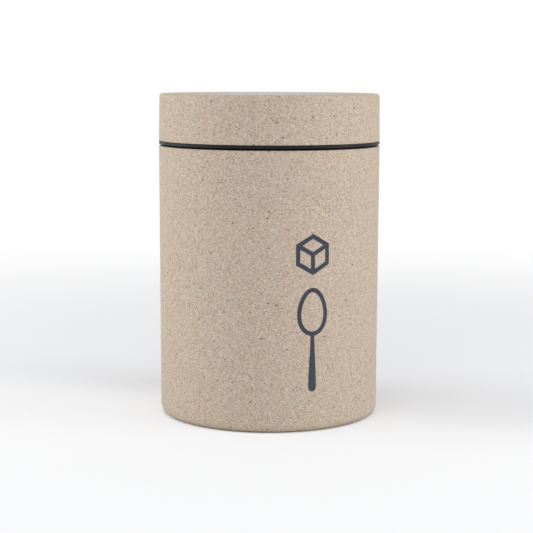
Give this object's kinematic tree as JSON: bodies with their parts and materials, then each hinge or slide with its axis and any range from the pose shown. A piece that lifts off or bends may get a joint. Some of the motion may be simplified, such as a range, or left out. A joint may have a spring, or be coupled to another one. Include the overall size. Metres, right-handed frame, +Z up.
{
  "type": "storage canister",
  "caption": "Round kitchen storage canister in speckled sand-coloured moulding, with a press-on sealed lid that lifts off.",
  "frame": {"origin": "centre of the base, on the surface that the canister stands on", "axes": "+Z up along the canister's axis, which is its longest side; round, so X and Y are alike, and the print faces -Y"},
  "size_m": [0.11, 0.11, 0.16],
  "materials": {
    "speckled_moulding": "matt, fine sand grain with dark and rust-brown specks",
    "satin_steel": "satin",
    "adhesive_film": "matt",
    "black_moulding": "satin black",
    "grey_silicone": "smooth silicone",
    "slate_ink": "matt printed ink"
  },
  "bodies": {
    "canister": {"canister_body": "speckled_moulding"},
    "lid": {"lid_cap": "speckled_moulding", "lid_disc": "satin_steel", "disc_film": "adhesive_film", "lid_liner": "black_moulding", "seal_ring": "grey_silicone"}
  },
  "joints": [
    {"name": "lid_lift", "type": "slide", "parent": "canister", "child": "lid", "axis": [0, 0, 1], "range_m": [0, 0.08]}
  ]
}
